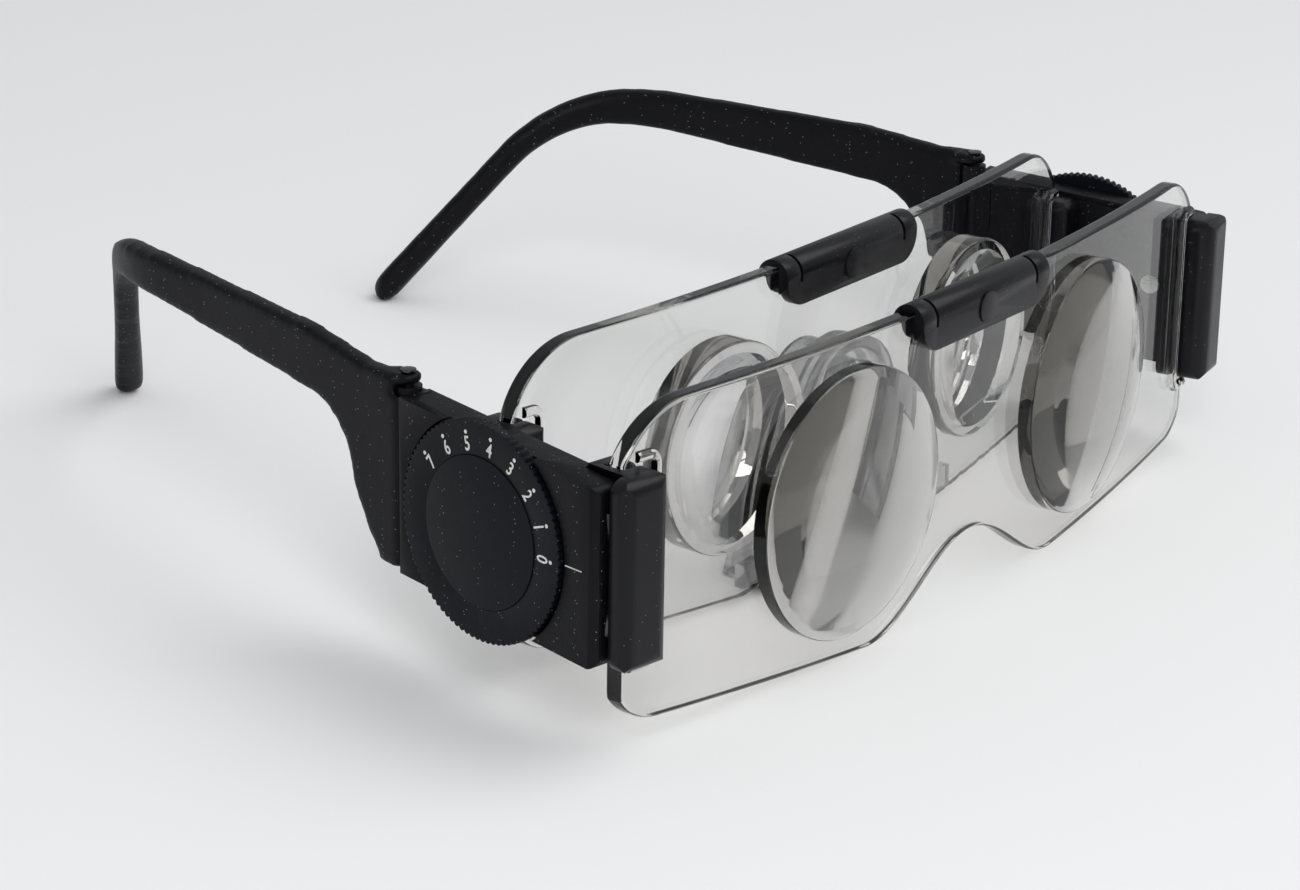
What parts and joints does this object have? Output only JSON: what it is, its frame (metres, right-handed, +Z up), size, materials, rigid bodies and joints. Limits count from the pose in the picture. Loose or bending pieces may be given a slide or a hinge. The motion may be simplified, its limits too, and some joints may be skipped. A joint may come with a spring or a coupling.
{
  "type": "magnifying spectacles",
  "caption": "Spectacle-style magnifier: two clear lens plates between black side housings, focus dials that rack the front plate forward, and folding temples.",
  "frame": {"origin": "under the middle of the spectacles' outer box, on the surface that they stand on", "axes": "+X towards the wearer's left, -Y the way the wearer looks, +Z up; the temples are open and the front plate is fully back"},
  "size_m": [0.1634, 0.1424, 0.0485],
  "materials": {
    "clear_acrylic": "polished clear moulding",
    "saddle_rubber": "soft dark grey",
    "bright_steel": "plain bright",
    "glossy_black": "smooth moulded",
    "dial_black": "satin with white numbers",
    "grained_black": "finely grained"
  },
  "bodies": {
    "frame": {"rear_plate": "clear_acrylic", "rear_bridge_cover": "glossy_black", "nose_saddle": "saddle_rubber", "right_housing": "grained_black", "right_inner_cover": "grained_black", "right_cover_screws": "bright_steel", "right_dial_spring": "bright_steel", "right_rear_clip": "glossy_black", "right_hinge_pin": "bright_steel", "left_housing": "grained_black", "left_inner_cover": "grained_black", "left_cover_screws": "bright_steel", "left_dial_spring": "bright_steel", "left_rear_clip": "glossy_black", "left_hinge_pin": "bright_steel"},
    "front": {"front_plate": "clear_acrylic", "front_bridge_cover": "glossy_black"},
    "right_carriage": {"right_slider": "bright_steel", "right_front_clip": "glossy_black"},
    "right_dial_group": {"right_dial": "dial_black", "right_dial_cap": "dial_black", "right_pinion": "bright_steel", "right_pinion_screw": "bright_steel"},
    "right_temple_body": {"right_temple": "grained_black"},
    "left_carriage": {"left_slider": "bright_steel", "left_front_clip": "glossy_black"},
    "left_dial_group": {"left_dial": "dial_black", "left_dial_cap": "dial_black", "left_pinion": "bright_steel", "left_pinion_screw": "bright_steel"},
    "left_temple_body": {"left_temple": "grained_black"}
  },
  "joints": [
    {"name": "focus", "type": "slide", "parent": "frame", "child": "front", "axis": [0, -0.9967, 0.0813], "range_m": [0, 0.00889]},
    {"name": "right_carriage_slide", "type": "slide", "parent": "frame", "child": "right_carriage", "axis": [-0.165, -0.983, 0.0802], "range_m": [0, 0.00903]},
    {"name": "right_dial_turn", "type": "hinge", "parent": "frame", "child": "right_dial_group", "pos_m": [-0.07735, -0.03855, 0.02481], "axis": [0.9863, -0.1645, 0.0134], "range_deg": [0, 143.9]},
    {"name": "left_carriage_slide", "type": "slide", "parent": "frame", "child": "left_carriage", "axis": [0.165, -0.983, 0.0802], "range_m": [0, 0.00903]},
    {"name": "left_dial_turn", "type": "hinge", "parent": "frame", "child": "left_dial_group", "pos_m": [0.07735, -0.03855, 0.02481], "axis": [0.9863, 0.1645, -0.0134], "range_deg": [0, 143.9]},
    {"name": "right_temple_fold", "type": "hinge", "parent": "frame", "child": "right_temple_body", "pos_m": [-0.07228, -0.02076, 0.02637], "axis": [0, -0.0813, -0.9967], "range_deg": [0, 72]},
    {"name": "left_temple_fold", "type": "hinge", "parent": "frame", "child": "left_temple_body", "pos_m": [0.07228, -0.02076, 0.02637], "axis": [0, 0.0813, 0.9967], "range_deg": [0, 64]}
  ],
  "couplings": [
    {"joint": "right_carriage_slide", "follows": "focus", "ratio": 1.0139},
    {"joint": "right_dial_turn", "follows": "focus", "rad_per_m": 281.64},
    {"joint": "left_carriage_slide", "follows": "focus", "ratio": 1.0139},
    {"joint": "left_dial_turn", "follows": "focus", "rad_per_m": 281.64}
  ]
}
